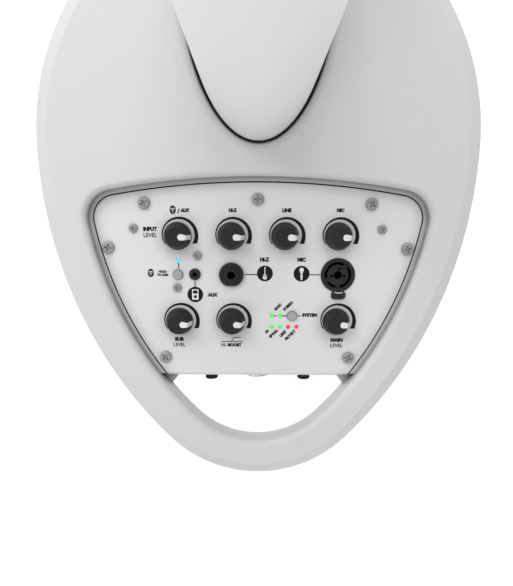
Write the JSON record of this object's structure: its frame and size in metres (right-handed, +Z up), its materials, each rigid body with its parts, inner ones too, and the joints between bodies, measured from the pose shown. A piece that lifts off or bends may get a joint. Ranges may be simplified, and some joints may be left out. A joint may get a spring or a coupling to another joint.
{
  "type": "column pa system",
  "caption": "Column loudspeaker system: a bass base with rear handle and mixer panel, and a two-piece lift-off speaker column.",
  "frame": {"origin": "on the floor, under the middle of the base outline", "axes": "+Z up, -Y towards the listeners, +Y towards the carrying handle"},
  "size_m": [0.3266, 0.4364, 2.05],
  "materials": {
    "shell_plastic": "fine moulded texture",
    "grille_steel": "satin powder coat, perforated",
    "panel_sheet": "satin",
    "dark_plastic": "matte",
    "button_plastic": "satin",
    "screw_steel": "satin",
    "rubber": "matte",
    "baffle_board": "black paint",
    "cone_paper": "coated paper",
    "magnet_iron": "plain",
    "basket_steel": "black paint",
    "bare_aluminium": "anodised",
    "plate_black": "textured black",
    "circuit_board": "solder mask",
    "connector_metal": "satin nickel",
    "led_cyan": "lit",
    "led_green": "lit",
    "led_red": "lit"
  },
  "bodies": {
    "base": {"base_housing": "shell_plastic", "top_shell": "shell_plastic", "base_grille": "grille_steel", "control_panel": "panel_sheet", "combo_jack": "dark_plastic", "hiz_jack": "dark_plastic", "hiz_nut": "dark_plastic", "aux_jack": "dark_plastic", "rear_line_jacks": "dark_plastic", "mains_inlet": "dark_plastic", "rocker_bezel": "dark_plastic", "port_tubes": "dark_plastic", "grille_frame": "dark_plastic", "potentiometers": "dark_plastic", "column_socket": "dark_plastic", "panel_screws": "screw_steel", "board_screws": "screw_steel", "woofer_screws": "screw_steel", "amplifier_screws": "screw_steel", "base_feet": "rubber", "woofer_surrounds": "rubber", "socket_gasket": "rubber", "front_baffle": "baffle_board", "woofer_magnets": "magnet_iron", "woofer_frame_1": "basket_steel", "woofer_frame_2": "basket_steel", "heat_sink": "bare_aluminium", "amplifier_plate": "plate_black", "mixer_board": "circuit_board", "amplifier_board": "circuit_board", "power_supply": "circuit_board", "xlr_output": "connector_metal", "led_link": "led_cyan", "leds_green": "led_green", "leds_red": "led_red"},
    "lower_column": {"lower_column_shell": "shell_plastic", "lower_column_grille": "grille_steel", "lower_column_baffle": "baffle_board", "lower_column_spigot": "dark_plastic", "column_wiring": "dark_plastic"},
    "upper_column": {"upper_column_shell": "shell_plastic", "upper_column_socket": "dark_plastic", "upper_column_cap": "shell_plastic", "upper_column_grille": "grille_steel", "upper_column_baffle": "baffle_board", "mid_frames": "basket_steel", "tweeters": "dark_plastic"},
    "mid_cones": {"mid_cones": "cone_paper"},
    "woofer_cones": {"woofer_cone_1": "cone_paper", "woofer_cone_2": "cone_paper"},
    "link_button": {"link_button": "button_plastic"},
    "system_button": {"system_button": "button_plastic"},
    "combo_release_tab": {"combo_release_tab": "dark_plastic"},
    "power_rocker": {"power_rocker": "dark_plastic"},
    "knob_stream_level": {"knob_stream_level": "dark_plastic"},
    "knob_hiz_level": {"knob_hiz_level": "dark_plastic"},
    "knob_line_level": {"knob_line_level": "dark_plastic"},
    "knob_mic_level": {"knob_mic_level": "dark_plastic"},
    "knob_sub_level": {"knob_sub_level": "dark_plastic"},
    "knob_high_boost": {"knob_high_boost": "dark_plastic"},
    "knob_main_level": {"knob_main_level": "dark_plastic"}
  },
  "joints": [
    {"name": "knob_stream_level_turn", "type": "hinge", "parent": "base", "child": "knob_stream_level", "pos_m": [0.06195, 0.024, 0.591], "axis": [0, 0, 1], "range_deg": [-55, 245]},
    {"name": "knob_hiz_level_turn", "type": "hinge", "parent": "base", "child": "knob_hiz_level", "pos_m": [0.02065, 0.024, 0.591], "axis": [0, 0, 1], "range_deg": [-55, 245]},
    {"name": "knob_line_level_turn", "type": "hinge", "parent": "base", "child": "knob_line_level", "pos_m": [-0.02065, 0.024, 0.591], "axis": [0, 0, 1], "range_deg": [-55, 245]},
    {"name": "knob_mic_level_turn", "type": "hinge", "parent": "base", "child": "knob_mic_level", "pos_m": [-0.06195, 0.024, 0.591], "axis": [0, 0, 1], "range_deg": [-55, 245]},
    {"name": "knob_sub_level_turn", "type": "hinge", "parent": "base", "child": "knob_sub_level", "pos_m": [0.06195, 0.0912, 0.591], "axis": [0, 0, 1], "range_deg": [-55, 245]},
    {"name": "knob_high_boost_turn", "type": "hinge", "parent": "base", "child": "knob_high_boost", "pos_m": [0.02065, 0.0912, 0.591], "axis": [0, 0, 1], "range_deg": [-55, 245]},
    {"name": "knob_main_level_turn", "type": "hinge", "parent": "base", "child": "knob_main_level", "pos_m": [-0.06195, 0.0912, 0.591], "axis": [0, 0, 1], "range_deg": [-55, 245]},
    {"name": "lower_column_lift", "type": "slide", "parent": "base", "child": "lower_column", "axis": [0, 0, 1], "range_m": [0, 0.1]},
    {"name": "upper_column_lift", "type": "slide", "parent": "lower_column", "child": "upper_column", "axis": [0, 0, 1], "range_m": [0, 0.08]},
    {"name": "woofer_stroke", "type": "slide", "parent": "base", "child": "woofer_cones", "axis": [0, -1, 0], "range_m": [-0.006, 0.006], "stiffness_N_per_m": 3000},
    {"name": "mid_stroke", "type": "slide", "parent": "upper_column", "child": "mid_cones", "axis": [0, -1, 0], "range_m": [-0.0015, 0.0015], "stiffness_N_per_m": 2500},
    {"name": "link_button_press", "type": "slide", "parent": "base", "child": "link_button", "axis": [0, 0, -1], "range_m": [0, 0.0008], "stiffness_N_per_m": 900},
    {"name": "system_button_press", "type": "slide", "parent": "base", "child": "system_button", "axis": [0, 0, -1], "range_m": [0, 0.0008], "stiffness_N_per_m": 900},
    {"name": "combo_tab_press", "type": "slide", "parent": "base", "child": "combo_release_tab", "axis": [0, 0, -1], "range_m": [0, 0.0015], "stiffness_N_per_m": 900},
    {"name": "power_rocker_tilt", "type": "hinge", "parent": "base", "child": "power_rocker", "pos_m": [0.038, 0.1355, 0.122], "axis": [0, 0, 1], "range_deg": [0, 24]}
  ]
}
